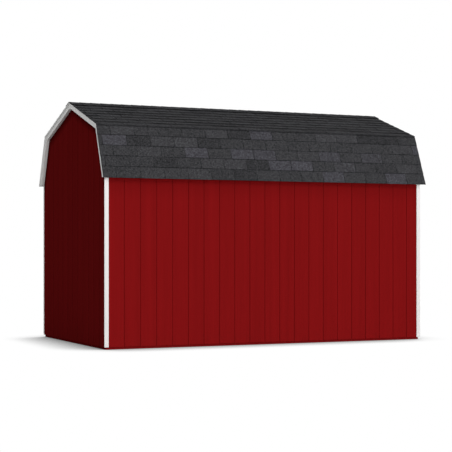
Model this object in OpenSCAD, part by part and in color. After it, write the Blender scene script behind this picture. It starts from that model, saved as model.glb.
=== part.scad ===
// Gambrel storage barn: a framed and sided shell, white trimmed, under a two-pitch shingled roof.
// The ridge runs along X with the front gable at +X, and the left long wall is at -Y.

/* [Building] */
// Length over the wall framing, along the ridge
length = 4267; // [3000:1:6100]
// Width over the wall framing
width = 2416; // [2000:1:3700]
// Height of the side walls, ground to the top of the top plate
wall_h = 2016; // [1700:1:2600]

/* [Framing] */
// Thickness of the framing lumber
lumber_t = 38; // [30:1:50]
// Depth of the studs, plates and rafters
lumber_d = 89; // [60:1:140]
// Widest spacing of the side wall studs and of the roof frames above them
frame_pitch = 610; // [400:1:700]
// Spacing of the gable studs
gable_pitch = 610; // [400:1:700]
// Thickness of the plywood gussets at the roof joints
gusset_t = 11; // [6:1:19]

/* [Siding and trim] */
// Thickness of the siding panels
siding_t = 11; // [8:1:19]
// Spacing of the upright grooves in the siding
groove_pitch = 203.2; // [100:0.1:410]
// Width of a groove at the face of the siding
groove_w = 10; // [6:1:20]
// Width of a groove at its floor
groove_floor = 6; // [2:1:6]
// Depth of a groove
groove_d = 4; // [2:1:6]
// Distance of a long wall's first groove from the rear end of the framing
groove_start = 225; // [60:1:400]
// Height of the sole plate left showing under the siding
siding_gap = 28; // [10:1:36]
// Width of a corner board
corner_w = 52; // [40:1:120]
// Thickness of a corner board
corner_t = 8; // [6:1:25]
// How far a corner board stands out past the gable siding
corner_proud = 9; // [0:1:20]
// Width of a rake board, across its face
rake_w = 62; // [50:1:120]
// Thickness of a rake board, which is how far it stands off the gable siding
rake_t = 37; // [19:1:60]
// Thickness of the soffit boards under the eaves
soffit_t = 12; // [8:1:19]

/* [Roof] */
// How far the shingle edge at the eave stands out from the wall framing
eave_out = 93; // [70:1:200]
// How far the knee, where the two pitches meet, lies inside the wall framing
knee_in = 171; // [120:1:400]
// Height of the knee over the shingle edge at the eave
knee_rise = 644; // [500:1:900]
// Height of the ridge over the knee
ridge_rise = 349; // [200:1:700]
// Thickness of the roof deck panels
deck_t = 11; // [8:1:19]
// Thickness of the laid shingles
shingle_t = 9; // [7:1:14]
// Thickness of a shingle at its butt, the lower edge that shows
butt_t = 4; // [2:1:5]
// Height of a shingle course, from butt to butt
course = 137; // [90:1:200]
// How far the shingles hang below the deck at the eave
drip = 5; // [2:1:15]
// How far the shingles hang out past the rake boards
rake_drip = 12; // [1:1:25]
// Thickness of the metal edging bent round the shingle ends at the rakes
edge_t = 2; // [1:1:4]
// How far the top of the edging lies below the shingle butts
edge_set = 6; // [0:1:7]
// How far the edging reaches below the shingles
edge_drop = 7; // [5:1:20]
// Reach of the ridge cap down each slope
cap_w = 140; // [90:1:200]
// Thickness of the ridge cap
cap_t = 5; // [3:1:12]

/* [Hidden] */

half_l = length / 2;
half_w = width / 2;

// Levels at the eave, from the top plate down: soffit, then the hanging shingle edge
soffit_z = wall_h - soffit_t;
eave_z = soffit_z - drip;

// The roof line over the shingle butts, as [distance from the ridge plane, height]
eave = [half_w + eave_out, eave_z];
knee = [half_w - knee_in, eave_z + knee_rise];
ridge_z = knee[1] + ridge_rise;
lower_pitch = atan2(knee_rise, eave[0] - knee[0]);
upper_pitch = atan2(ridge_rise, knee[0]);

// Directions square to each slope, into the building, and the mitre between them
lower_in = [-sin(lower_pitch), -cos(lower_pitch)];
upper_in = [-sin(upper_pitch), -cos(upper_pitch)];
mitre = (lower_in + upper_in) / (1 + lower_in * upper_in);

// Lengths of the slopes, and the butts of their courses, set out both ways from the knee
lower_len = norm(knee - eave);
upper_len = norm([knee[0], ridge_rise]);
lower_butts = [for (i = [floor(lower_len / course) - 1 : -1 : 1]) lower_len - i * course];
upper_butts = [for (i = [1 : ceil(upper_len / course) - 1]) i * course];

// Centres of the siding's grooves, clear of the corners
side_grooves = [
    for (x = groove_start - half_l; x < half_l - corner_w; x = x + groove_pitch) x
];
gable_grooves_each_side = floor((half_w - corner_w) / groove_pitch);
gable_grooves = [for (i = [-gable_grooves_each_side : gable_grooves_each_side]) i * groove_pitch];

// Depths of each layer's outer face below the shingle butts
deck_depth = shingle_t;
rafter_depth = deck_depth + deck_t;
inner_depth = rafter_depth + lumber_d;
rake_depth = shingle_t + rake_w;

// Ends of the roof layers along the ridge
deck_end = half_l + siding_t;
rake_end = deck_end + rake_t;
shingle_end = rake_end + rake_drip;
edge_end = shingle_end + edge_t;

// Stations of the roof frames and of the studs below them, equal along the length
frame_bays = ceil((length - lumber_t) / frame_pitch);
frame_step = (length - lumber_t) / frame_bays;
stations = [for (i = [0 : frame_bays]) -half_l + lumber_t / 2 + i * frame_step];

// Gable studs, from the middle out as far as the corner studs leave room
gable_each_side = floor((half_w - lumber_d - lumber_t) / gable_pitch);
gable_stations = [for (i = [-gable_each_side : gable_each_side]) i * gable_pitch];

red = [0.49, 0.07, 0.07];
white = [0.88, 0.87, 0.86];
pine = [0.78, 0.62, 0.42];
strand = [0.66, 0.52, 0.34];
slate = [0.24, 0.24, 0.26];

// Point of the lower slope at a depth below the shingles, on a level z
function on_lower(depth, z) =
    [eave[0] - (z - eave_z) / tan(lower_pitch) - depth / sin(lower_pitch), z];
// Height of the upper slope at a depth, at a distance from the ridge plane
function upper_z(depth, from_ridge) =
    ridge_z - from_ridge * tan(upper_pitch) - depth / cos(upper_pitch);
function at_knee(depth) = knee + depth * mitre;
function at_ridge(depth) = [0, upper_z(depth, 0)];
// Height of the roof line at a depth, on either slope
function roof_z(depth, from_ridge) =
    from_ridge < at_knee(depth)[0]
        ? upper_z(depth, from_ridge)
        : eave_z + (eave[0] - depth / sin(lower_pitch) - from_ridge) * tan(lower_pitch);

// Bands of one slope between two depths: level cut at the eave, mitred at the knee, plumb at the ridge
function lower_band(top, bottom, cut_z) =
    [on_lower(top, cut_z), at_knee(top), at_knee(bottom), on_lower(bottom, cut_z)];
function upper_band(top, bottom) =
    [at_knee(top), at_ridge(top), at_ridge(bottom), at_knee(bottom)];
function slope_band(slope, top, bottom, cut_z) =
    slope == "lower" ? lower_band(top, bottom, cut_z) : upper_band(top, bottom);

// Band over the whole gable between two depths, from one eave over the ridge to the other
function gable_band(top, bottom) =
    let (over = [on_lower(top, eave_z), at_knee(top), at_ridge(top)],
         under = [on_lower(bottom, eave_z), at_knee(bottom), at_ridge(bottom)])
    concat(over, [for (i = [1 : -1 : 0]) [-over[i][0], over[i][1]]],
           [for (i = [0 : 1]) [-under[i][0], under[i][1]]], [for (i = [2 : -1 : 0]) under[i]]);

// Stepped edge of a slope's shingles: each course thins from its butt to the next one up
function course_steps(butts, foot, up, inward) =
    [for (along = butts, depth = [butt_t, 0]) foot + along * up + depth * inward];
function shingle_band(slope) =
    slope == "lower"
        ? concat([eave],
                 course_steps(lower_butts, eave, [-cos(lower_pitch), sin(lower_pitch)], lower_in),
                 [at_knee(butt_t), at_knee(shingle_t), on_lower(shingle_t, eave_z)])
        : concat([knee],
                 course_steps(upper_butts, knee, [-cos(upper_pitch), sin(upper_pitch)], upper_in),
                 [at_ridge(0), at_ridge(shingle_t), at_knee(shingle_t)]);

// Plan of a siding panel as [distance along the wall, distance out], with its grooves cut in
function groove_notch(at, face) = [
    [at - groove_w / 2, face], [at - groove_floor / 2, face - groove_d],
    [at + groove_floor / 2, face - groove_d], [at + groove_w / 2, face]
];
function siding_plan(reach, grooves, back) =
    concat([[-reach, back], [-reach, back + siding_t]],
           [for (at = grooves) each groove_notch(at, back + siding_t)],
           [[reach, back + siding_t], [reach, back]]);

// A cross-section, drawn as [y, z], run along the ridge from x0 to x1
module along_ridge(x0, x1, section) {
    translate([x0, 0, 0]) rotate([90, 0, 90]) linear_extrude(height = x1 - x0) polygon(section);
}

// Shapes are drawn on the right half and the front end, and turned over for the left and the rear
module on_side(side) {
    mirror([0, side == "left" ? 1 : 0, 0]) children();
}
module at_end(end) {
    mirror([end == "rear" ? 1 : 0, 0, 0]) children();
}

module side_sole_plate(side) {
    color(red) on_side(side)
        translate([-half_l, half_w - lumber_d, 0]) cube([length, lumber_d, lumber_t]);
}

module end_sole_plate(end) {
    color(red) at_end(end)
        translate([half_l - lumber_d, lumber_d - half_w, 0])
            cube([lumber_d, width - 2 * lumber_d, lumber_t]);
}

module side_studs(side) {
    color(pine) on_side(side)
        for (x = stations)
            translate([x - lumber_t / 2, half_w - lumber_d, lumber_t])
                cube([lumber_t, lumber_d, wall_h - 2 * lumber_t]);
}

module side_top_plate(side) {
    color(pine) on_side(side)
        translate([-half_l, half_w - lumber_d, wall_h - lumber_t])
            cube([length, lumber_d, lumber_t]);
}

// Outline of one gable stud, cut to the underside of the rafters
function gable_stud_outline(y) =
    let (near = y - lumber_t / 2, far = y + lumber_t / 2)
    [
        [near, lumber_t], [far, lumber_t], [far, roof_z(inner_depth, abs(far))],
        if (near < 0 && far > 0) at_ridge(inner_depth),
        [near, roof_z(inner_depth, abs(near))]
    ];

module gable_studs(end) {
    color(pine) at_end(end)
        for (y = gable_stations) along_ridge(half_l - lumber_d, half_l, gable_stud_outline(y));
}

module rafters(side, slope) {
    color(pine) on_side(side)
        for (x = stations)
            along_ridge(x - lumber_t / 2, x + lumber_t / 2,
                        slope_band(slope, rafter_depth, inner_depth, wall_h));
}

// A plate on the face of each frame that looks to the middle of the barn
module gusset_row(outline) {
    for (x = stations)
        along_ridge(x < 0 ? x + lumber_t / 2 : x - lumber_t / 2 - gusset_t,
                    x < 0 ? x + lumber_t / 2 + gusset_t : x - lumber_t / 2, outline);
}

// Triangles that lap both rafters, with the long edge across the inner corner of the joint
module knee_gussets() {
    half_angle = 90 - (lower_pitch - upper_pitch) / 2;
    leg = lumber_d * norm(mitre) / cos(half_angle);
    corner = at_knee(rafter_depth);
    outline = [
        corner,
        corner + leg * [cos(lower_pitch), -sin(lower_pitch)],
        corner + leg * [-cos(upper_pitch), sin(upper_pitch)]
    ];
    color(strand)
        for (side = ["left", "right"]) on_side(side) gusset_row(outline);
}

module ridge_gussets() {
    base_z = at_ridge(inner_depth)[1];
    reach = (at_ridge(rafter_depth)[1] - base_z) / tan(upper_pitch);
    color(strand)
        gusset_row([at_ridge(rafter_depth), [-reach, base_z], [reach, base_z]]);
}

module side_siding(side) {
    color(red) on_side(side)
        translate([0, 0, siding_gap])
            linear_extrude(height = wall_h - siding_gap)
                polygon(siding_plan(half_l, side_grooves, half_w));
}

// The gable panel covers the ends of the side panels and runs up to the deck
module gable_siding(end) {
    edge = half_w + siding_t;
    right_half = [
        [edge, siding_gap], [edge, roof_z(rafter_depth, edge)], at_knee(rafter_depth)
    ];
    left_half = [for (i = [len(right_half) - 1 : -1 : 0]) [-right_half[i][0], right_half[i][1]]];
    plan = siding_plan(edge, gable_grooves, half_l);
    color(red) at_end(end)
        intersection() {
            along_ridge(half_l, half_l + siding_t,
                        concat(right_half, [at_ridge(rafter_depth)], left_half));
            linear_extrude(height = ridge_z) polygon([for (p = plan) [p[1], p[0]]]);
        }
}

module corner_board(side, end) {
    color(white) on_side(side) at_end(end)
        translate([half_l + siding_t + corner_proud - corner_w, half_w + siding_t, siding_gap])
            cube([corner_w, corner_t, soffit_z - siding_gap]);
}

// Closes the eave from the siding out to the back of the deck
module soffit(side) {
    wall_face = half_w + siding_t;
    color(white) on_side(side)
        along_ridge(-deck_end, deck_end, [
            [wall_face, soffit_z], on_lower(rafter_depth, soffit_z),
            on_lower(rafter_depth, wall_h), [wall_face, wall_h]
        ]);
}

module deck(side, slope) {
    color(strand) on_side(side)
        along_ridge(-deck_end, deck_end, slope_band(slope, deck_depth, rafter_depth, soffit_z));
}

module rake_board(end, side, slope) {
    color(white) at_end(end) on_side(side)
        along_ridge(deck_end, rake_end, slope_band(slope, shingle_t, rake_depth, soffit_z));
}

module shingles(side, slope) {
    color(slate) on_side(side)
        along_ridge(-shingle_end, shingle_end, shingle_band(slope));
}

// A face over the shingle ends, and a return under them to the rake boards
module rake_edge(end) {
    foot = shingle_t + edge_drop;
    color(white) at_end(end)
        union() {
            along_ridge(shingle_end, edge_end, gable_band(edge_set, foot));
            along_ridge(rake_end, edge_end, gable_band(foot - edge_t, foot));
        }
}

// Cap shingles bent over the ridge, with ends cut square to the slope
module ridge_cap() {
    foot = [cap_w * cos(upper_pitch), ridge_z - cap_w * sin(upper_pitch)];
    lip = foot - cap_t * upper_in;
    color(slate)
        along_ridge(-shingle_end, shingle_end, [
            foot, lip, at_ridge(-cap_t), [-lip[0], lip[1]], [-foot[0], foot[1]], at_ridge(0)
        ]);
}

side_sole_plate("left");  // left_sole_plate
side_sole_plate("right");  // right_sole_plate
end_sole_plate("front");  // front_sole_plate
end_sole_plate("rear");  // rear_sole_plate
side_studs("left");  // left_studs
side_studs("right");  // right_studs
gable_studs("front");  // front_studs
gable_studs("rear");  // rear_studs
side_top_plate("left");  // left_top_plate
side_top_plate("right");  // right_top_plate
rafters("left", "lower");  // left_lower_rafters
rafters("left", "upper");  // left_upper_rafters
rafters("right", "upper");  // right_upper_rafters
rafters("right", "lower");  // right_lower_rafters
knee_gussets();
ridge_gussets();
side_siding("left");  // left_siding
side_siding("right");  // right_siding
gable_siding("front");  // front_siding
gable_siding("rear");  // rear_siding
corner_board("left", "front");  // left_front_corner_board
corner_board("right", "front");  // right_front_corner_board
corner_board("left", "rear");  // left_rear_corner_board
corner_board("right", "rear");  // right_rear_corner_board
soffit("left");  // left_soffit
soffit("right");  // right_soffit
deck("left", "lower");  // left_lower_deck
deck("left", "upper");  // left_upper_deck
deck("right", "upper");  // right_upper_deck
deck("right", "lower");  // right_lower_deck
rake_board("front", "left", "lower");  // front_left_lower_rake
rake_board("front", "left", "upper");  // front_left_upper_rake
rake_board("front", "right", "upper");  // front_right_upper_rake
rake_board("front", "right", "lower");  // front_right_lower_rake
rake_board("rear", "left", "lower");  // rear_left_lower_rake
rake_board("rear", "left", "upper");  // rear_left_upper_rake
rake_board("rear", "right", "upper");  // rear_right_upper_rake
rake_board("rear", "right", "lower");  // rear_right_lower_rake
shingles("left", "lower");  // left_lower_shingles
shingles("left", "upper");  // left_upper_shingles
shingles("right", "upper");  // right_upper_shingles
shingles("right", "lower");  // right_lower_shingles
ridge_cap();
rake_edge("front");  // front_rake_edge
rake_edge("rear");  // rear_rake_edge
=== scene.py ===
import math
import random

import bmesh
import bpy
import numpy as np
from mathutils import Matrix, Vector


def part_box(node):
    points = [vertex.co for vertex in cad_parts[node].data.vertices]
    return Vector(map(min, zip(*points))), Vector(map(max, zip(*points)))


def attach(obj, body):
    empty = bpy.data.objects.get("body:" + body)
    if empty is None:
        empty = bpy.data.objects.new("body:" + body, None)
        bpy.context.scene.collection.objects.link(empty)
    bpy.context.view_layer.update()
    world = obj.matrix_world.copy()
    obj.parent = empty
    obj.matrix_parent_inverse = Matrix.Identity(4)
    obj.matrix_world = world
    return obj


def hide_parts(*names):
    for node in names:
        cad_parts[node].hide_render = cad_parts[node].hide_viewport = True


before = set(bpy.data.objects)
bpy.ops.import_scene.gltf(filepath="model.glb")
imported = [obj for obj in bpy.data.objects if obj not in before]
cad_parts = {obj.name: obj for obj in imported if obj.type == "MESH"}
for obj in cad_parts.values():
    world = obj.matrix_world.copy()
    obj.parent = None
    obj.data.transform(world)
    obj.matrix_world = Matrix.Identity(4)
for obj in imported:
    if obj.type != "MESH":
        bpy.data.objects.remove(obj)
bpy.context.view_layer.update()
scene = bpy.context.scene
scene.view_settings.view_transform = "Standard"


# a socket in a node tree: operators add Math nodes, node() adds any other kind
class Flow:
    def __init__(self, tree, socket=None):
        self.tree = tree
        self.socket = socket

    def node(self, kind, settings=None, sockets=None, out=0):
        made = self.tree.nodes.new(kind)
        for name, value in (settings or {}).items():
            if name == "stops":
                fillRamp(made.color_ramp, value)
            else:
                setattr(made, name, value)
        for name, value in (sockets or {}).items():
            if isinstance(value, Flow):
                self.tree.links.new(value.socket, made.inputs[name])
            else:
                made.inputs[name].default_value = value
        return Flow(self.tree, made.outputs[out]) if made.outputs else None

    def other(self, name):  # another output of the same node
        return Flow(self.tree, self.socket.node.outputs[name])

    def maths(self, operation, first, second=0.0):
        return self.node("ShaderNodeMath", {"operation": operation}, {0: first, 1: second})

    def vector(self, operation, first, second):
        return self.node("ShaderNodeVectorMath", {"operation": operation}, {0: first, 1: second})

    def __add__(self, other):
        return self.maths("ADD", self, other)

    def __radd__(self, other):
        return self.maths("ADD", other, self)

    def __sub__(self, other):
        return self.maths("SUBTRACT", self, other)

    def __rsub__(self, other):
        return self.maths("SUBTRACT", other, self)

    def __mul__(self, other):
        return self.maths("MULTIPLY", self, other)

    def __rmul__(self, other):
        return self.maths("MULTIPLY", other, self)

    def __truediv__(self, other):
        return self.maths("DIVIDE", self, other)

    def __gt__(self, other):
        return self.maths("GREATER_THAN", self, other)

    def __lt__(self, other):
        return self.maths("LESS_THAN", self, other)

    def floor(self):
        return self.maths("FLOOR", self)

    def ramp(self, low, high):  # 0 at low, 1 at high, held beyond
        return self.node("ShaderNodeMapRange", {"interpolation_type": "SMOOTHSTEP"},
                         {"Value": self, "From Min": low, "From Max": high})

    def band(self, low, high):  # 1 between low and high
        return (self > low) * (self < high)

    def parts(self):  # x, y and z of a vector
        split = self.node("ShaderNodeSeparateXYZ", None, {0: self})
        return split, split.other("Y"), split.other("Z")

    def xyz(self, x, y, z):
        return self.node("ShaderNodeCombineXYZ", None, {0: x, 1: y, 2: z})

    def blend(self, factor, first, second, kind="MIX"):
        return self.node("ShaderNodeMix", {"data_type": "RGBA", "blend_type": kind, "clamp_factor": True},
                         {0: factor, 6: first, 7: second}, out=2)

    def dimmed(self, paint, share):  # a colour times a number
        return self.blend(1.0, paint, self.xyz(share, share, share), "MULTIPLY")

    def noise(self, where, scale, detail=3.0, roughness=0.55):
        stretched = self.vector("MULTIPLY", where, scale)
        return self.node("ShaderNodeTexNoise", None,
                         {"Vector": stretched, "Scale": 1.0, "Detail": detail, "Roughness": roughness})


def fillRamp(ramp, stops):
    while len(ramp.elements) < len(stops):
        ramp.elements.new(1.0)
    for element, (place, colour) in zip(ramp.elements, stops):
        element.position = place
        element.color = colour


def colour(red, green, blue):
    return (red, green, blue, 1.0)


def startFinish(name):
    material = bpy.data.materials.new(name)
    material.use_nodes = True
    material.node_tree.nodes.clear()
    return material, Flow(material.node_tree)


def closeFinish(flow, base, roughness, height, bump, specular):
    normal = flow.node("ShaderNodeBump", None,
                       {"Strength": bump["strength"], "Distance": bump["depth"], "Height": height})
    surface = flow.node("ShaderNodeBsdfPrincipled", None, {
        "Base Color": base, "Roughness": roughness, "Normal": normal, "Specular IOR Level": specular})
    flow.node("ShaderNodeOutputMaterial", None, {"Surface": surface})


def objectPlace(flow):
    return flow.node("ShaderNodeTexCoord", None, None, "Object")


def attribute(flow, name, out="Fac"):
    return flow.node("ShaderNodeAttribute", {"attribute_name": name}, None, out)


def corners(node):
    return [vert.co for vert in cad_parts[node].data.vertices]


# points of the roof line, as distance from the ridge plane and height, read from the solids
def readRoof():
    eave = min(corners("left_lower_shingles"), key=lambda co: co.z)
    knee = min(corners("left_upper_shingles"), key=lambda co: co.y)
    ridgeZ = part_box("left_upper_shingles")[1].z
    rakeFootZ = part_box("rear_left_lower_rake")[0].z
    near = 0.001  # how close a point has to be to count as level with another
    rakeFootY = min(-co.y for co in corners("rear_left_lower_rake") if co.z < rakeFootZ + near)
    rakeTopZ = min(co.z for co in corners("rear_left_upper_rake") if co.y > -near)
    eaveY = -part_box("left_lower_shingles")[0].y
    return {"end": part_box("left_lower_shingles")[1].x, "eave": Vector((eaveY, eave.z)),
            "knee": Vector((-knee.y, knee.z)), "ridge": Vector((0.0, ridgeZ)),
            "lowerRise": (knee.z - eave.z) / (eaveY + knee.y), "upperRise": (ridgeZ - knee.z) / -knee.y,
            "rakeFoot": Vector((rakeFootY, rakeFootZ)), "rakeTop": rakeTopZ}


roof = readRoof()
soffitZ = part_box("left_soffit")[0].z
print("roof line:", [tuple(round(part, 4) for part in roof[name]) for name in ("eave", "knee", "ridge")])

siding = {
    "pitch": 0.2032,  # groove to groove
    "firstGroove": 0.225,  # from the rear end of the framing
    "deep": colour(0.176, 0.0053, 0.0058),
    "bright": colour(0.256, 0.0075, 0.0084),
    "splash": colour(0.060, 0.0100, 0.0080),
    "splashTop": 0.30,
    "splashShare": 0.08,
    "fine": (310.0, 310.0, 7.0),  # features a metre, across and up the boards
    "grain": (70.0, 70.0, 1.6),
    "streak": (16.0, 16.0, 0.35),
    "patch": (9.0, 9.0, 14.0),
    "roughness": 0.62,
    "bump": {"strength": 0.35, "depth": 0.0012},
    "ease": 0.0008,
    "gableDeep": 0.008,  # what lies this close to a gable's face is painted as gable
    "grooveDeep": (0.0012, 0.005),  # what lies this far behind a face is a groove
    "grooveShade": {"wall": 0.74, "gable": 0.32},
    "gableShadeTone": colour(0.83, 1.12, 1.08),  # painted shade: the gables, facing away from the key light, get a deeper red
    "rakeShade": 0.38,  # paint tone right under the rake boards
    "rakeShadeDepth": 0.135,
    "eaveLightTone": 0.80,  # painted light: how much brighter the paint on the long walls is right under the eaves
    "eaveLightHigh": 0.042,
    "eaveShade": 0.85,  # paint tone below that
    "eaveShadeDepth": 0.29,
    "soleTone": 0.79,  # the sole plates are darker
}


# how far the paint is dimmed in the grooves, under the rake boards and under the eaves, as painted shade,
# and brightened right under the eaves, as painted light
def sidingShade(flow, outX, outY, z, onGable):
    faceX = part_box("front_siding")[1].x
    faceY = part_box("right_siding")[1].y
    near, far = siding["grooveDeep"]
    wallGroove = outY.band(faceY - far, faceY - near) * (1.0 - siding["grooveShade"]["wall"])
    gableGroove = outX.band(faceX - far, faceX - near) * (1.0 - siding["grooveShade"]["gable"])
    lowerGap = (roof["rakeFoot"].x - outY) * roof["lowerRise"] + roof["rakeFoot"].y - z
    upperGap = outY * -roof["upperRise"] + roof["rakeTop"] - z
    under = flow.maths("MINIMUM", lowerGap / math.hypot(1.0, roof["lowerRise"]),
                       upperGap / math.hypot(1.0, roof["upperRise"]))
    nearRake = (1.0 - under.ramp(0.0, siding["rakeShadeDepth"])) * onGable
    # painted light on the long walls right under the soffit
    paintedEaveLight = z.ramp(soffitZ - siding["eaveLightHigh"], soffitZ) * (1.0 - onGable)
    nearEave = z.ramp(soffitZ - siding["eaveShadeDepth"], soffitZ) * (1.0 - onGable)
    dim = 1.0 - flow.maths("MAXIMUM", wallGroove, gableGroove)
    dim = dim * (1.0 - nearRake * (1.0 - siding["rakeShade"]))
    return dim * (1.0 + paintedEaveLight * siding["eaveLightTone"]) * (1.0 - nearEave * (1.0 - siding["eaveShade"]))


def makeRedPaint(name, shade):
    material, flow = startFinish(name)
    place = objectPlace(flow)
    x, y, z = place.parts()
    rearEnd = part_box("left_siding")[0].x
    along = (x - (rearEnd + siding["firstGroove"])) / siding["pitch"]
    across = y / siding["pitch"]
    board = flow.node("ShaderNodeTexWhiteNoise", {"noise_dimensions": "1D"},
                      {"W": along.floor() + across.floor() * 17.0})  # each board has a number of its own
    shifted = flow.vector("ADD", place, flow.vector("MULTIPLY", board.other("Color"), (3.0, 3.0, 9.0)))
    fine = flow.noise(shifted, siding["fine"], 4.0)
    grain = flow.noise(shifted, siding["grain"], 3.0)
    streak = flow.noise(shifted, siding["streak"], 2.0)
    tone = 0.5 + (streak - 0.5) * 0.6 + (grain - 0.5) * 0.5 + (board - 0.5) * 0.12
    paint = flow.blend(tone, siding["deep"], siding["bright"])
    outX = flow.maths("ABSOLUTE", x)
    outY = flow.maths("ABSOLUTE", y)
    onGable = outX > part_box("front_siding")[1].x - siding["gableDeep"]
    # painted shade: the gables get a deeper red than the lit long walls
    paint = flow.blend(onGable, paint, siding["gableShadeTone"], "MULTIPLY")
    paint = flow.dimmed(paint, sidingShade(flow, outX, outY, z, onGable) * shade)
    patchy = flow.noise(place, siding["patch"], 4.0)
    splash = (1.0 - z.ramp(0.02, siding["splashTop"])) * patchy.ramp(0.35, 0.75) * siding["splashShare"]
    paint = flow.blend(splash, paint, siding["splash"])
    rough = siding["roughness"] + (fine - 0.5) * 0.25
    closeFinish(flow, paint, rough, fine * 0.5 + grain * 0.5, siding["bump"], 0.0)
    return material


whiteTrim = {
    # painted light and shade: one white paint, paler on the shaded rake boards, darker and warmer on the
    # lit corner boards
    "clean": {"rake": colour(0.91, 0.91, 0.895), "corner": colour(0.755, 0.720, 0.710)},
    "dull": {"rake": colour(0.84, 0.84, 0.825), "corner": colour(0.690, 0.655, 0.645)},
    "edge": colour(0.70, 0.68, 0.64),
    "paintedEaveLight": colour(0.97, 0.96, 0.95),  # painted light: whiter paint on the corner boards right under the eaves
    "eaveLightHigh": 0.05,
    "brush": (3.0, 160.0, 160.0),  # features a metre, along and across the board
    "cloud": (4.0, 9.0, 9.0),
    "wear": 0.6,
    "roughness": 0.34,
    "gloss": 1.0,
    "bump": {"strength": 0.25, "depth": 0.0008},
    "ease": 0.002,
}


def makeWhitePaint(where):
    material, flow = startFinish(f"white_{where}_paint")
    place = attribute(flow, "grain", "Vector")
    brush = flow.noise(place, whiteTrim["brush"], 3.0)
    cloud = flow.noise(place, whiteTrim["cloud"], 3.0)
    tone = 0.55 + (brush - 0.5) * 0.8 + (cloud - 0.5) * 0.7
    paint = flow.blend(tone, whiteTrim["dull"][where], whiteTrim["clean"][where])
    if where == "corner":
        # painted light: the corner boards are whiter right under the eaves
        z = objectPlace(flow).parts()[2]
        paint = flow.blend(z.ramp(soffitZ - whiteTrim["eaveLightHigh"], soffitZ), paint, whiteTrim["paintedEaveLight"])
    worn = attribute(flow, "edge") * cloud.ramp(0.35, 0.7) * whiteTrim["wear"]
    paint = flow.blend(worn, paint, whiteTrim["edge"])
    rough = whiteTrim["roughness"] + (cloud - 0.5) * 0.2
    closeFinish(flow, paint, rough, brush, whiteTrim["bump"], whiteTrim["gloss"])
    return material


edging = {
    "coat": colour(0.82, 0.82, 0.81),
    "dust": colour(0.70, 0.68, 0.65),
    "film": (2.0, 14.0, 14.0),  # features a metre
    "speck": (240.0, 240.0, 240.0),
    "roughness": 0.32,
    "gloss": 1.0,
    "bump": {"strength": 0.1, "depth": 0.0005},
    "ease": 0.0004,
}


def makeCoating():
    material, flow = startFinish("white_metal_coating")
    place = objectPlace(flow)
    film = flow.noise(place, edging["film"], 4.0)
    speck = flow.noise(place, edging["speck"], 2.0)
    dusty = film.ramp(0.45, 0.8) * 0.5 + speck.ramp(0.62, 0.75) * 0.25
    coat = flow.blend(dusty, edging["coat"], edging["dust"])
    rough = edging["roughness"] + (film - 0.5) * 0.2
    closeFinish(flow, coat, rough, speck, edging["bump"], edging["gloss"])
    return material


lumber = {
    "pale": colour(0.62, 0.44, 0.24),
    "dark": colour(0.40, 0.23, 0.10),
    "knot": colour(0.11, 0.050, 0.022),
    "sway": (1.1, 6.0, 6.0),  # features a metre, along, across and through the board
    "rings": (0.7, 75.0, 40.0),
    "fibre": (9.0, 420.0, 420.0),
    "knots": (2.2, 11.0, 11.0),
    "roughness": 0.72,
    "gloss": 0.2,
    "bump": {"strength": 0.3, "depth": 0.0008},
    "ease": 0.0025,
}


def makeLumber():
    material, flow = startFinish("sawn_softwood")
    place = attribute(flow, "grain", "Vector")
    sway = flow.noise(place, lumber["sway"], 2.0)
    rings = flow.noise(place, lumber["rings"], 3.0, 0.65)
    fibre = flow.noise(place, lumber["fibre"], 2.0)
    knots = flow.node("ShaderNodeTexVoronoi", {"feature": "F1"}, {
        "Vector": flow.vector("MULTIPLY", place, lumber["knots"]), "Scale": 1.0}, "Distance")
    knot = 1.0 - knots.ramp(0.05, 0.16)
    tone = 0.5 + (rings - 0.5) * 2.2 + (sway - 0.5) * 0.5 + (fibre - 0.5) * 0.5
    wood = flow.blend(tone, lumber["dark"], lumber["pale"])
    wood = flow.blend(knot, wood, lumber["knot"])
    rough = lumber["roughness"] + (fibre - 0.5) * 0.2
    closeFinish(flow, wood, rough, rings * 0.5 + fibre * 0.5, lumber["bump"], lumber["gloss"])
    return material


panel = {
    "strands": [(0.0, colour(0.20, 0.110, 0.045)), (0.3, colour(0.36, 0.215, 0.095)),
                (0.65, colour(0.50, 0.330, 0.160)), (1.0, colour(0.64, 0.460, 0.250))],
    "strandSize": (11.0, 52.0, 52.0),  # strands a metre, along and across
    "turns": (0.35, -0.6, 1.25),  # lie of the layers of strands
    "mottle": (7.0, 7.0, 7.0),
    "fibre": (40.0, 300.0, 300.0),
    "roughness": 0.75,
    "gloss": 0.2,
    "bump": {"strength": 0.35, "depth": 0.0009},
    "ease": 0.0012,
}


def makeStrandBoard():
    material, flow = startFinish("strand_panel")
    place = attribute(flow, "grain", "Vector")
    mottle = flow.noise(place, panel["mottle"], 2.0)
    tone = None
    for turn in panel["turns"]:
        turned = flow.node("ShaderNodeVectorRotate", {"rotation_type": "Z_AXIS"},
                           {"Vector": place, "Angle": turn})
        cells = flow.node("ShaderNodeTexVoronoi", {"feature": "F1"}, {
            "Vector": flow.vector("MULTIPLY", turned, panel["strandSize"]), "Scale": 1.0}, "Color")
        shade, pick = cells.parts()[:2]
        if tone is None:
            tone = shade
        else:
            tone = tone + (shade - tone) * (pick > 0.5)
    fibre = flow.noise(place, panel["fibre"], 2.0)
    wood = flow.node("ShaderNodeValToRGB", {"stops": panel["strands"]},
                     {"Fac": tone * 0.8 + (mottle - 0.5) * 0.4 + fibre * 0.2})
    closeFinish(flow, wood, panel["roughness"], tone + fibre * 0.4, panel["bump"], panel["gloss"])
    return material


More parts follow.
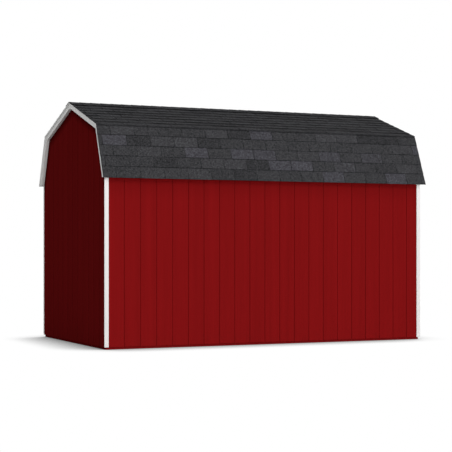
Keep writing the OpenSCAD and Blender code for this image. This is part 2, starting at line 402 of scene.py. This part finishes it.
shingle = {
    "exposure": 0.137,  # course height
    "lap": 0.034,  # hidden under the next course up
    "tab": 0.3035,
    "slot": 0.008,
    "butt": 0.004,
    "backing": 0.0015,
    "underlay": 0.004,
    "laid": 0.009,  # full thickness on the deck
    "phases": (0.164, 0.048),  # first slot from the rear, on odd and even courses
    "wander": 0.0016,
    "wave": {"lower": 0.0022, "upper": 0.0060},  # the flatter slopes lie less even
    "tones": [(0.00, colour(0.0295, 0.0295, 0.0315)), (0.17, colour(0.0315, 0.0315, 0.0337)),
              (0.19, colour(0.0392, 0.0392, 0.0418)), (0.67, colour(0.0452, 0.0452, 0.0482)),
              (0.70, colour(0.0486, 0.0483, 0.0519)), (0.83, colour(0.0516, 0.0513, 0.0552)),
              (0.86, colour(0.0580, 0.0565, 0.0655)), (1.00, colour(0.0665, 0.0648, 0.0750))],
    "grit": 620.0,  # granules a metre
    "gritShare": {"pale": 0.45, "dark": 0.55},
    "blotch": 0.36,
    "blotchSize": (13.0, 13.0, 13.0),
    "speckle": 2.3,
    "speckleSize": (48.0, 48.0, 48.0),
    "cut": colour(0.012, 0.012, 0.013),
    "buttShade": 0.45,  # tone of the painted shade line under each butt
    "buttShadeHigh": 0.010,
    "kneeClear": 0.012,  # no painted shade line this close under the knee
    "streak": 0.12,  # tone of the uneven dark streaks on the upper slopes
    "streakHigh": 0.075,
    "streakShare": (0.36, 0.54),  # noise at which the streaks start, and are full
    "streakSize": (3.4, 30.0, 30.0),
    "uneven": 0.7,  # how much the lines under the butts fade between the streaks there
    "upperShadeTone": 0.74,  # painted shade: the upper slopes get only the darker, more even tones
    "pale": colour(0.20, 0.20, 0.215),
    "dark": colour(0.012, 0.012, 0.013),
    "deep": 0.7,  # painted shade: how dark the course heads are at the bottom of the slots
    "roughness": 0.9,
    "gloss": 0.03,
    "bump": {"strength": 0.5, "depth": 0.0012},
    "seed": 3013,
}


def makeGranules():
    material, flow = startFinish("shingle_granules")
    place = objectPlace(flow)
    z = place.parts()[2]
    base = flow.node("ShaderNodeValToRGB", {"stops": shingle["tones"]}, {"Fac": attribute(flow, "tint")})
    grit = flow.node("ShaderNodeTexVoronoi", {"feature": "F1"},
                     {"Vector": place, "Scale": shingle["grit"]}, "Color")
    paleGrit, darkGrit = grit.parts()[:2]
    base = flow.blend(paleGrit.ramp(0.80, 1.0) * shingle["gritShare"]["pale"], base, shingle["pale"])
    base = flow.blend(darkGrit.ramp(0.62, 0.9) * shingle["gritShare"]["dark"], base, shingle["dark"])
    blotch = flow.noise(place, shingle["blotchSize"], 4.0, 0.6)
    speckle = flow.noise(place, shingle["speckleSize"], 2.0, 0.7)
    mottle = (blotch - 0.5) * shingle["blotch"] + (speckle - 0.5) * shingle["speckle"]
    base = flow.dimmed(base, 1.0 + mottle)

    # painted shade: dark lines under the butts; on the upper slopes they are broken up, with darker streaks
    # under the butts in patches
    kneeZ = roof["knee"].y
    exposure = shingle["exposure"]
    along = attribute(flow, "along") - attribute(flow, "late")
    clear = 1.0 - z.band(kneeZ - shingle["kneeClear"], kneeZ)
    high = z > kneeZ
    patches = flow.noise(place, shingle["streakSize"], 2.0).ramp(*shingle["streakShare"])
    uneven = 1.0 - high * (1.0 - patches) * shingle["uneven"]
    buttShade = along.ramp(exposure - shingle["buttShadeHigh"], exposure) * clear * uneven
    streak = along.ramp(exposure - shingle["streakHigh"], exposure) * high * patches
    dim = (1.0 - buttShade * (1.0 - shingle["buttShade"])) * (1.0 - streak * (1.0 - shingle["streak"]))
    # dark cut edges of the tabs, and the painted shade at the bottom of the slots
    cut = flow.maths("MAXIMUM", attribute(flow, "cut") * uneven, attribute(flow, "deep"))
    base = flow.blend(cut, flow.dimmed(base, dim), shingle["cut"])
    rough = shingle["roughness"] - paleGrit * 0.15
    closeFinish(flow, base, rough, paleGrit + blotch * 0.5, shingle["bump"], shingle["gloss"])
    return material


redPaint = makeRedPaint("red_siding_paint", 1.0)
solePaint = makeRedPaint("red_sole_paint", siding["soleTone"])
rakePaint = makeWhitePaint("rake")
cornerPaint = makeWhitePaint("corner")
coating = makeCoating()
softwood = makeLumber()
strandBoard = makeStrandBoard()
granules = makeGranules()
print("finishes made")


def keepPiece(name, mesh, materials):
    piece = bpy.data.objects.new(name, mesh)
    scene.collection.objects.link(piece)
    for material in materials:
        mesh.materials.append(material)
    return piece


def settle(piece, slot, *nodes):
    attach(piece, "root")
    if nodes:
        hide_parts(*nodes)


def islands(bm):
    seen = set()
    for start in bm.verts:
        if start in seen:
            continue
        group = []
        queue = [start]
        seen.add(start)
        while queue:
            vert = queue.pop()
            group.append(vert)
            for edge in vert.link_edges:
                far = edge.other_vert(vert)
                if far not in seen:
                    seen.add(far)
                    queue.append(far)
        yield group


# each board's own lengthwise, cross and through directions, with a shift so that no two boards match
def layGrain(bm, seed):
    rng = random.Random(seed)
    layer = bm.verts.layers.float_vector.new("grain")
    for group in islands(bm):
        points = np.array([vert.co for vert in group])
        middle = points.mean(0)
        axes = np.linalg.eigh(np.cov((points - middle).T))[1][:, ::-1]
        shift = np.array([rng.uniform(0, 40) for side in range(3)])
        for vert, place in zip(group, (points - middle) @ axes + shift):
            vert[layer] = Vector(place)


arris = {
    "weld": 1e-5,
    "flat": 0.5,  # degrees between faces that are one
    "sharp": 20.0,  # degrees between faces whose edge is eased
    "segments": 2,
}


# a copy of a solid with its triangles joined and its arrises eased
def easedCopy(node, ease, seed, second):
    bm = bmesh.new()
    bm.from_mesh(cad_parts[node].data)
    bmesh.ops.remove_doubles(bm, verts=bm.verts, dist=arris["weld"])
    bmesh.ops.dissolve_limit(bm, angle_limit=math.radians(arris["flat"]), verts=bm.verts, edges=bm.edges)
    sharp = [edge for edge in bm.edges if edge.calc_face_angle(0.0) > math.radians(arris["sharp"])]
    edgeLayer = bm.faces.layers.float.new("edge")
    eased = bmesh.ops.bevel(bm, geom=sharp, offset=ease, offset_type="OFFSET", segments=arris["segments"],
                            profile=0.5, affect="EDGES", clamp_overlap=True)
    for face in eased["faces"]:
        face[edgeLayer] = 1.0
    layGrain(bm, seed)
    for face in bm.faces:
        face.material_index = 0
        face.smooth = False
        if second and second(face.calc_center_median(), face.normal):
            face.material_index = 1
    mesh = bpy.data.meshes.new(node + "_mesh")
    bm.to_mesh(mesh)
    bm.free()
    return mesh


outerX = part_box("front_sole_plate")[1].x
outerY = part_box("right_sole_plate")[1].y


def isInner(centre, normal):  # a face that no one sees from outside
    skin = 0.003  # eased edges lie this close to the outer faces
    atEnd = abs(centre.x) > outerX - skin and abs(normal.x) > 0.3
    atSide = abs(centre.y) > outerY - skin and abs(normal.y) > 0.3
    return not (atEnd or atSide)


def isPanelBack(centre, normal):  # a face that looks into the barn
    inX = centre.x if abs(normal.x) > 0.9 else 0.0
    inY = centre.y if abs(normal.y) > 0.9 else 0.0
    return normal.dot(Vector((inX, inY, 0.0))) < -0.5


def isReturn(centre, normal):  # edges and backs of corner boards, and soffits: faces in shade, given the paler rake paint as painted light
    return normal.y * centre.y < 0.5 * abs(centre.y)


sides = ("left", "right")
ends = ("front", "rear")
slopes = ("lower", "upper")
boardSets = [
    ("red_siding", [redPaint, strandBoard], siding["ease"], isPanelBack,
     [f"{wall}_siding" for wall in sides + ends]),
    ("painted_sole", [solePaint, softwood], lumber["ease"], isInner,
     [f"{wall}_sole_plate" for wall in sides + ends]),
    ("framing_lumber", [softwood], lumber["ease"], None,
     [f"{wall}_studs" for wall in sides + ends] + [f"{side}_top_plate" for side in sides]
     + [f"{side}_{slope}_rafters" for side in sides for slope in slopes]),
    ("panel_board", [strandBoard], panel["ease"], None,
     ["knee_gussets", "ridge_gussets"] + [f"{side}_{slope}_deck" for side in sides for slope in slopes]),
    ("white_trim", [cornerPaint, rakePaint], whiteTrim["ease"], isReturn,
     [f"{side}_{end}_corner_board" for side in sides for end in ends]
     + [f"{side}_soffit" for side in sides]),
    ("white_trim", [rakePaint], whiteTrim["ease"], None,
     [f"{end}_{side}_{slope}_rake" for end in ends for side in sides for slope in slopes]),
    ("white_edging", [coating], edging["ease"], None, [f"{end}_rake_edge" for end in ends]),
]
for slot, materials, ease, second, nodes in boardSets:
    for number, node in enumerate(nodes):
        mesh = easedCopy(node, ease, f"{slot} {number}", second)
        settle(keepPiece(f"eased_{node}", mesh, materials), slot, node)
    print(slot, "pieces made:", len(nodes))


def startTree(name, inputs):
    group = bpy.data.node_groups.new(name, "GeometryNodeTree")
    group.is_modifier = True
    for label, kind in inputs:
        group.interface.new_socket(label, in_out="INPUT", socket_type="NodeSocket" + kind)
    group.interface.new_socket("Geometry", in_out="OUTPUT", socket_type="NodeSocketGeometry")
    entry = group.nodes.new("NodeGroupInput")
    flow = Flow(group)
    return group, flow, {label: Flow(group, entry.outputs[label]) for label, kind in inputs}


def store(flow, geometry, domain, name, value):
    return flow.node("GeometryNodeStoreNamedAttribute", {"data_type": "FLOAT", "domain": domain},
                     {"Geometry": geometry, "Name": name, "Value": value})


def moved(flow, geometry, x, y, z):
    return flow.node("GeometryNodeTransform", None,
                     {"Geometry": geometry, "Translation": flow.xyz(x, y, z)})


def closeTree(flow, geometry, material):
    dressed = flow.node("GeometryNodeSetMaterial", None, {"Geometry": geometry, "Material": material})
    flow.node("NodeGroupOutput", None, {"Geometry": dressed})


# run a tree on an object and keep the outcome as a plain mesh
def growPiece(name, group, values, points=(), facings=()):
    guide = bpy.data.meshes.new(name + "_guide")
    guide.from_pydata(points, [], [])
    if facings:
        layer = guide.attributes.new("facing", "FLOAT_VECTOR", "POINT")
        for spot, facing in zip(layer.data, facings):
            spot.vector = facing
    piece = bpy.data.objects.new(name, guide)
    scene.collection.objects.link(piece)
    grower = piece.modifiers.new("grow", "NODES")
    grower.node_group = group
    sockets = {item.name: item.identifier for item in group.interface.items_tree if item.in_out == "INPUT"}
    for label, value in values.items():
        grower[sockets[label]] = value
    view = bpy.context.evaluated_depsgraph_get()
    mesh = bpy.data.meshes.new_from_object(piece.evaluated_get(view), preserve_all_data_layers=True,
                                           depsgraph=view)
    piece.modifiers.clear()
    piece.data = mesh
    mesh.name = name + "_mesh"
    return piece


weld = 0.00005  # points of a shingle closer than this are joined


def shingleTree():
    group, flow, size = startTree("shingleCourses", [
        ("Run", "Float"), ("Slope", "Float"), ("Exposure", "Float"), ("Lead", "Float"), ("Lap", "Float"),
        ("Tab", "Float"), ("Slot", "Float"), ("Butt", "Float"), ("Backing", "Float"), ("Underlay", "Float"),
        ("Laid", "Float"), ("Odd slot", "Float"), ("Even slot", "Float"), ("Wander", "Float"),
        ("Wave", "Float"), ("Tone", "Float"), ("Tabs", "Int"), ("Courses", "Int"), ("Seed", "Int"),
        ("Foot", "Vector"), ("Turn", "Vector"), ("Finish", "Material")])

    index = flow.node("GeometryNodeInputIndex")
    reach = size["Exposure"] + size["Lap"] + size["Lead"]
    tilt = flow.xyz(flow.maths("ARCTANGENT", size["Butt"] / size["Exposure"]) * -1.0, 0.0, 0.0)

    def courseFoot(course):  # the lowest course is longer by the lead
        return course * size["Exposure"] + flow.maths("MINIMUM", course, 1.0) * size["Lead"]

    # one point for each tab, row by row from the eave
    course = (index / size["Tabs"]).floor()
    odd = flow.maths("MODULO", size["Courses"] - course, 2.0)
    slot = size["Even slot"] + odd * (size["Odd slot"] - size["Even slot"])
    tabLeft = slot + (index - course * size["Tabs"] - 1.0) * size["Tab"]
    spot = flow.node("FunctionNodeRandomValue", {"data_type": "FLOAT_VECTOR"}, {
        "Min": (-1.0, -1.0, -0.2), "Max": (1.0, 1.0, 0.2), "ID": index, "Seed": size["Seed"]})
    drift = flow.node("ShaderNodeVectorMath", {"operation": "SCALE"}, {0: spot, "Scale": size["Wander"]})
    middle = tabLeft + size["Tab"] * 0.5 - size["Run"] * 0.5
    seat = flow.vector("ADD", flow.xyz(middle, courseFoot(course), 0.0), drift)
    cloud = flow.node("GeometryNodePoints", None,
                      {"Count": size["Tabs"] * size["Courses"], "Position": seat})
    cloud = store(flow, cloud, "POINT", "late", size["Lead"] * (course < 0.5))
    x, y, z = flow.node("GeometryNodeInputPosition").parts()
    sliver = 0.01  # tabs that show less than this at a rake are left out
    beyond = flow.maths("ABSOLUTE", x) > size["Run"] * 0.5 + size["Tab"] * 0.5 - sliver
    cloud = flow.node("GeometryNodeDeleteGeometry", {"domain": "POINT"},
                      {"Geometry": cloud, "Selection": beyond})

    tab = flow.node("GeometryNodeMeshCube", None, {
        "Size": flow.xyz(size["Tab"] - size["Slot"], reach, size["Butt"]),
        "Vertices X": 6, "Vertices Y": 3, "Vertices Z": 2})
    tab = moved(flow, tab, 0.0, reach * 0.5, size["Butt"] * -0.5)
    tab = store(flow, tab, "POINT", "along", flow.node("GeometryNodeInputPosition").parts()[1])
    tabs = flow.node("GeometryNodeInstanceOnPoints", None,
                     {"Points": cloud, "Instance": tab, "Rotation": tilt})
    pick = flow.node("FunctionNodeRandomValue", {"data_type": "FLOAT"},
                     {"ID": flow.node("GeometryNodeInputIndex"), "Seed": size["Seed"] + 5.0}, 1)
    tabs = store(flow, tabs, "INSTANCE", "tint", pick * size["Tone"])

    # unslotted heads of the courses, seen at the bottom of the slots, darkened there as painted shade
    head = flow.node("GeometryNodeMeshCube", None, {"Size": flow.xyz(size["Run"], reach, size["Backing"])})
    head = moved(flow, head, 0.0, reach * 0.5, size["Butt"] * -1.0 - size["Backing"] * 0.5)
    rowFoot = flow.xyz(0.0, courseFoot(flow.node("GeometryNodeInputIndex")), 0.0)
    rows = flow.node("GeometryNodePoints", None, {"Count": size["Courses"], "Position": rowFoot})
    heads = flow.node("GeometryNodeInstanceOnPoints", None,
                      {"Points": rows, "Instance": head, "Rotation": tilt})
    heads = store(flow, heads, "INSTANCE", "deep", shingle["deep"])
    inset = 0.002  # the underlay stops short of the tabs all round
    sheet = flow.node("GeometryNodeMeshCube", None, {
        "Size": flow.xyz(size["Run"] - inset, size["Slope"] - inset, size["Underlay"])})
    sheet = moved(flow, sheet, 0.0, size["Slope"] * 0.5, size["Underlay"] * 0.5 - size["Laid"])

    joined = flow.node("GeometryNodeJoinGeometry")
    for part in (sheet, heads, tabs):
        flow.tree.links.new(part.socket, joined.socket.node.inputs[0])
    solid = flow.node("GeometryNodeRealizeInstances", None, {"Geometry": joined})
    facing = flow.node("GeometryNodeInputNormal").parts()[2]
    onTab = (z > size["Laid"] * -0.55) * (y > 0.003)  # not a head, and not the edge along the eave
    solid = store(flow, solid, "FACE", "cut", (facing < 0.5) * onTab)

    # trim at the rakes and at the top, then let the tabs lie a little uneven
    half = size["Run"] * 0.5
    trimmed = flow.xyz(flow.maths("MAXIMUM", flow.maths("MINIMUM", x, half), half * -1.0),
                       flow.maths("MINIMUM", y, size["Slope"]), z)
    solid = flow.node("GeometryNodeSetPosition", None, {"Geometry": solid, "Position": trimmed})
    solid = flow.node("GeometryNodeMergeByDistance", None, {"Geometry": solid, "Distance": weld})
    ripple = flow.noise(flow.node("GeometryNodeInputPosition"), (5.0, 9.0, 0.0), 2.0)
    lift = (ripple - 0.5) * size["Wave"] * (z > size["Laid"] * -0.4)
    solid = flow.node("GeometryNodeSetPosition", None,
                      {"Geometry": solid, "Offset": flow.xyz(0.0, 0.0, lift)})
    solid = flow.node("GeometryNodeTransform", None, {
        "Geometry": solid, "Translation": size["Foot"], "Rotation": size["Turn"]})
    closeTree(flow, solid, size["Finish"])
    return group


courseTree = shingleTree()
for side in sides:
    for slope in slopes:
        foot, top = (roof["eave"], roof["knee"]) if slope == "lower" else (roof["knee"], roof["ridge"])
        slopeLength = (top - foot).length
        pitch = math.atan2(top.y - foot.y, foot.x - top.x)
        exposure = shingle["exposure"]
        fits = slopeLength / exposure
        courses = int(fits + 0.02) if slope == "lower" else math.ceil(fits)  # the top one is cut
        out = -1.0 if side == "left" else 1.0
        piece = growPiece(f"{side}_{slope}_shingle_tabs", courseTree, {
            "Run": 2 * roof["end"], "Slope": slopeLength, "Exposure": exposure,
            "Lead": slopeLength - courses * exposure if slope == "lower" else 0.0,
            "Lap": shingle["lap"], "Tab": shingle["tab"], "Slot": shingle["slot"], "Butt": shingle["butt"],
            "Backing": shingle["backing"], "Underlay": shingle["underlay"], "Laid": shingle["laid"],
            "Odd slot": shingle["phases"][0], "Even slot": shingle["phases"][1],
            "Wander": shingle["wander"], "Wave": shingle["wave"][slope],
            "Tone": 1.0 if slope == "lower" else shingle["upperShadeTone"],
            "Tabs": math.ceil(2 * roof["end"] / shingle["tab"]) + 2, "Courses": courses,
            "Seed": shingle["seed"] + sides.index(side) * 2 + slopes.index(slope),
            "Foot": (0.0, out * foot.x, foot.y),
            "Turn": (pitch, 0.0, 0.0 if side == "left" else math.pi), "Finish": granules})
        settle(piece, "roof_shingles", f"{side}_{slope}_shingles")
        print(piece.name, "courses:", courses, "faces:", len(piece.data.polygons))


cap = {
    "exposure": 0.137,
    "lap": 0.06,
    "thick": 0.0025,
    "rise": 0.0048,  # top of the caps over the ridge line
    "round": 0.012,
    "tone": 0.5,  # only the darker tones
    "cut": 0.35,  # how dark the cut edges are
    "seed": 31,
}


def capTree():
    group, flow, size = startTree("ridgeCaps", [
        ("Run", "Float"), ("Exposure", "Float"), ("Lap", "Float"), ("Reach", "Float"), ("Thick", "Float"),
        ("Round", "Float"), ("Fall", "Float"), ("Count", "Int"), ("Seed", "Int"), ("Apex", "Vector"),
        ("Finish", "Material")])

    length = size["Exposure"] + size["Lap"]
    half = size["Run"] * 0.5
    index = flow.node("GeometryNodeInputIndex")
    row = flow.node("GeometryNodePoints", None, {
        "Count": size["Count"], "Position": flow.xyz(index * size["Exposure"] - half, 0.0, 0.0)})
    blank = flow.node("GeometryNodeMeshCube", None, {
        "Size": flow.xyz(length, size["Reach"] * 2.0, size["Thick"]),
        "Vertices X": 3, "Vertices Y": 11, "Vertices Z": 2})
    blank = moved(flow, blank, length * 0.5, 0.0, size["Thick"] * -0.5)
    lean = flow.maths("ARCTANGENT", size["Thick"] / size["Exposure"])
    caps = flow.node("GeometryNodeInstanceOnPoints", None,
                     {"Points": row, "Instance": blank, "Rotation": flow.xyz(0.0, lean, 0.0)})
    pick = flow.node("FunctionNodeRandomValue", {"data_type": "FLOAT"},
                     {"ID": flow.node("GeometryNodeInputIndex"), "Seed": size["Seed"]}, 1)
    caps = store(flow, caps, "INSTANCE", "tint", pick * cap["tone"])
    solid = flow.node("GeometryNodeRealizeInstances", None, {"Geometry": caps})
    facing = flow.node("GeometryNodeInputNormal").parts()[2]
    solid = store(flow, solid, "FACE", "cut", (facing < 0.5) * cap["cut"])
    x, y, z = flow.node("GeometryNodeInputPosition").parts()
    bend = (flow.maths("SQRT", y * y + size["Round"] * size["Round"]) - size["Round"]) * size["Fall"]
    bent = flow.xyz(flow.maths("MINIMUM", x, half), y, z - bend)
    solid = flow.node("GeometryNodeSetPosition", None, {"Geometry": solid, "Position": bent})
    solid = flow.node("GeometryNodeMergeByDistance", None, {"Geometry": solid, "Distance": weld})
    solid = flow.node("GeometryNodeTransform", None, {"Geometry": solid, "Translation": size["Apex"]})
    closeTree(flow, solid, size["Finish"])
    return group


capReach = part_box("ridge_cap")[1].y
caps = growPiece("ridge_cap_shingles", capTree(), {
    "Run": 2 * roof["end"], "Exposure": cap["exposure"], "Lap": cap["lap"], "Reach": capReach,
    "Thick": cap["thick"], "Round": cap["round"], "Fall": roof["upperRise"],
    "Count": math.ceil(2 * roof["end"] / cap["exposure"]), "Seed": cap["seed"],
    "Apex": (0.0, 0.0, roof["ridge"].y + cap["rise"]), "Finish": granules})
settle(caps, "roof_shingles", "ridge_cap")
print("ridge caps made")


nail = {
    "radius": 0.0042,
    "proud": 0.0007,
    "sink": 0.004,
    "spacing": 0.305,
    "fromEnd": 0.075,
    "fromCorner": 0.05,  # clear of the corner boards
    "fromEdge": 0.03,
    "fromGroove": 0.03,  # off the middle of a gable
    "rakeSpan": (0.08, 0.92),  # shares of a rake board's length between its end nails
    "studPitch": 0.61,
    "studWide": 0.038,
}


def nailTree():
    group, flow, size = startTree("nailHeads", [
        ("Geometry", "Geometry"), ("Radius", "Float"), ("Proud", "Float"), ("Sink", "Float"),
        ("Finish", "Material")])
    facing = flow.node("GeometryNodeInputNamedAttribute", {"data_type": "FLOAT_VECTOR"}, {"Name": "facing"})
    head = flow.node("GeometryNodeMeshCylinder", None, {
        "Vertices": 10, "Radius": size["Radius"], "Depth": size["Proud"] + size["Sink"]})
    head = moved(flow, head, 0.0, 0.0, (size["Proud"] - size["Sink"]) * 0.5)
    turn = flow.node("FunctionNodeAlignRotationToVector", {"axis": "Z"}, {"Vector": facing})
    heads = flow.node("GeometryNodeInstanceOnPoints", None,
                      {"Points": size["Geometry"], "Instance": head, "Rotation": turn})
    solid = flow.node("GeometryNodeRealizeInstances", None, {"Geometry": heads})
    closeTree(flow, solid, size["Finish"])
    return group


# evenly spaced distances between two ends
def spaced(low, high, step):
    count = max(1, round((high - low) / step))
    return [low + (high - low) * place / count for place in range(count + 1)]


def sidingNails():
    bays = math.ceil((2 * outerX - nail["studWide"]) / nail["studPitch"])
    studs = [-outerX + nail["studWide"] / 2 + (2 * outerX - nail["studWide"]) * bay / bays
             for bay in range(bays + 1)]
    low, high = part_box("left_siding")
    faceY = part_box("right_siding")[1].y
    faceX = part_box("front_siding")[1].x
    spots = []
    for x in studs:
        atCorner = abs(x) > outerX - nail["studWide"]
        inward = x - math.copysign(nail["fromCorner"], x) if atCorner else x
        for z in spaced(low.z + nail["fromEnd"], high.z - nail["fromEnd"], nail["spacing"]):
            spots += [((inward, out * faceY, z), (0.0, out, 0.0)) for out in (-1.0, 1.0)]
    reach = outerY - nail["fromEdge"]
    for y in (-reach, -nail["studPitch"], nail["fromGroove"], nail["studPitch"], reach):
        lowerLine = (roof["rakeFoot"].x - abs(y)) * roof["lowerRise"] + roof["rakeFoot"].y
        upperLine = roof["rakeTop"] - abs(y) * roof["upperRise"]
        top = min(lowerLine, upperLine) - nail["fromEnd"]
        for z in spaced(low.z + nail["fromEnd"], top, nail["spacing"]):
            spots += [((out * faceX, y, z), (out, 0.0, 0.0)) for out in (-1.0, 1.0)]
    return spots


def trimNails():
    spots = []
    for side in sides:
        for end in ends:
            low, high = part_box(f"{side}_{end}_corner_board")
            out = -1.0 if side == "left" else 1.0
            face = low.y if side == "left" else high.y
            for z in spaced(low.z + nail["fromEnd"], high.z - nail["fromEnd"], 2 * nail["spacing"]):
                spots.append((((low.x + high.x) / 2, face, z), (0.0, out, 0.0)))
            for slope in slopes:
                board = corners(f"{end}_{side}_{slope}_rake")
                face = max((co.x for co in board), key=abs)
                outline = {(round(co.y, 4), round(co.z, 4)) for co in board}
                reach = sorted(outline, key=lambda point: abs(point[0]))
                inner = (Vector(reach[0]) + Vector(reach[1])) / 2
                outer = (Vector(reach[-1]) + Vector(reach[-2])) / 2
                if slope == "lower":
                    byHeight = sorted(outline, key=lambda point: point[1])
                    outer = (Vector(byHeight[0]) + Vector(byHeight[1])) / 2
                    inner = (Vector(byHeight[-1]) + Vector(byHeight[-2])) / 2
                for share in spaced(*nail["rakeSpan"], nail["spacing"] / (inner - outer).length):
                    y, z = outer.lerp(inner, share)
                    spots.append(((face, y, z), (math.copysign(1.0, face), 0.0, 0.0)))
    return spots


headTree = nailTree()
for name, spots, finish, slot in (("siding_nails", sidingNails(), redPaint, "red_siding"),
                                  ("trim_nails", trimNails(), coating, "white_trim")):
    heads = growPiece(name, headTree, {
        "Radius": nail["radius"], "Proud": nail["proud"], "Sink": nail["sink"], "Finish": finish},
        [spot for spot, facing in spots], [facing for spot, facing in spots])
    settle(heads, slot)
    print(name, "made:", len(spots))


# floor, light and camera
stand = {
    "span": 90.0,
    "bounce": colour(0.62, 0.62, 0.62),
    "shadowReach": 0.8,  # how far the barn's shade spreads over the floor
    "lean": (0.284, 0.0, 0.959),  # the open side that lights the floor
    "shadeStart": 0.207,  # open share of the sky at which the floor is darkest
    "shadeEnd": 0.85,  # and at which it is white
    "footReach": 0.44,  # a closer shade along the foot of the long wall
    "footLean": (-0.48, 0.61, 0.63),
    "footShade": 0.18,
    "samples": 16,
}


def seenDirectly(flow):  # 1 for what the camera sees, also in a mirror or through glass
    ray = flow.node("ShaderNodeLightPath", None, None, "Is Camera Ray")
    return flow.maths("MINIMUM", ray + ray.other("Is Glossy Ray") + ray.other("Is Transmission Ray"), 1.0)


def makeFloor():
    mesh = bpy.data.meshes.new("floor_mesh")
    half = stand["span"]
    mesh.from_pydata([(-half, -half, 0), (half, -half, 0), (half, half, 0), (-half, half, 0)], [],
                     [(0, 1, 2, 3)])
    floor = bpy.data.objects.new("floor", mesh)
    scene.collection.objects.link(floor)
    material, flow = startFinish("pale_floor")
    bounce = flow.node("ShaderNodeBsdfDiffuse", None, {"Color": stand["bounce"]})

    def openShare(lean, reach):
        return flow.node("ShaderNodeAmbientOcclusion", {"samples": stand["samples"]},
                         {"Distance": reach, "Normal": flow.xyz(*lean)}, "AO")

    # painted shadow: the camera sees the floor as emitted white, dimmed where the occlusion test finds the
    # barn near
    shade = flow.node("ShaderNodeMapRange", None, {
        "Value": openShare(stand["lean"], stand["shadowReach"]),
        "From Min": stand["shadeStart"], "From Max": stand["shadeEnd"]})
    footOpen = openShare(stand["footLean"], stand["footReach"])
    shade = shade * (1.0 - (1.0 - footOpen) * stand["footShade"])
    shown = flow.node("ShaderNodeEmission", None, {"Color": shade, "Strength": 1.0})
    surface = flow.node("ShaderNodeMixShader", None, {0: seenDirectly(flow), 1: bounce, 2: shown})
    flow.node("ShaderNodeOutputMaterial", None, {"Surface": surface})
    mesh.materials.append(material)


light = {
    "azimuth": 12.0,  # degrees from straight in front of the long wall, towards the front gable
    "elevation": 11.0,
    "strength": 0.96,  # in shares of pi
    "softness": 65.0,
    "sky": 0.30,
    "distance": 12.0,
}


def makeLight():
    azimuth = math.radians(light["azimuth"])
    elevation = math.radians(light["elevation"])
    towards = Vector((math.sin(azimuth) * math.cos(elevation), -math.cos(azimuth) * math.cos(elevation),
                      math.sin(elevation)))
    lamp = bpy.data.lights.new("key", "SUN")
    lamp.energy = light["strength"] * math.pi
    lamp.angle = math.radians(light["softness"])
    key = bpy.data.objects.new("key", lamp)
    key.rotation_mode = "QUATERNION"
    key.rotation_quaternion = towards.to_track_quat("Z", "Y")
    key.location = towards * light["distance"]
    scene.collection.objects.link(key)
    world = bpy.data.worlds.new("studio")
    world.use_nodes = True
    world.node_tree.nodes.clear()
    flow = Flow(world.node_tree)
    sky = flow.node("ShaderNodeBackground", None, {"Color": colour(1, 1, 1), "Strength": light["sky"]})
    white = flow.node("ShaderNodeBackground", None, {"Color": colour(1, 1, 1), "Strength": 1.0})
    mixed = flow.node("ShaderNodeMixShader", None, {0: seenDirectly(flow), 1: sky, 2: white})
    flow.node("ShaderNodeOutputWorld", None, {"Surface": mixed})
    scene.world = world


shot = {
    "place": (-7.2229, -15.7734, 1.2144),
    "turn": 24.46,  # degrees from straight at the long wall, towards the front gable
    "focalPixels": 1323.0,
    "imagePixels": 452.0,
    "horizonDrop": 19.25,  # pixels from the middle of the image down to the horizon
    "sensor": 36.0,
    "farthest": 400.0,
}


def makeCamera():
    data = bpy.data.cameras.new("camera")
    data.sensor_width = shot["sensor"]
    data.lens = shot["focalPixels"] / shot["imagePixels"] * shot["sensor"]
    data.shift_y = shot["horizonDrop"] / shot["imagePixels"]
    data.clip_end = shot["farthest"]
    camera = bpy.data.objects.new("camera", data)
    camera.location = shot["place"]
    camera.rotation_euler = (math.radians(90), 0.0, -math.radians(shot["turn"]))
    scene.collection.objects.link(camera)
    scene.camera = camera


makeFloor()
makeLight()
makeCamera()
print("stage made")
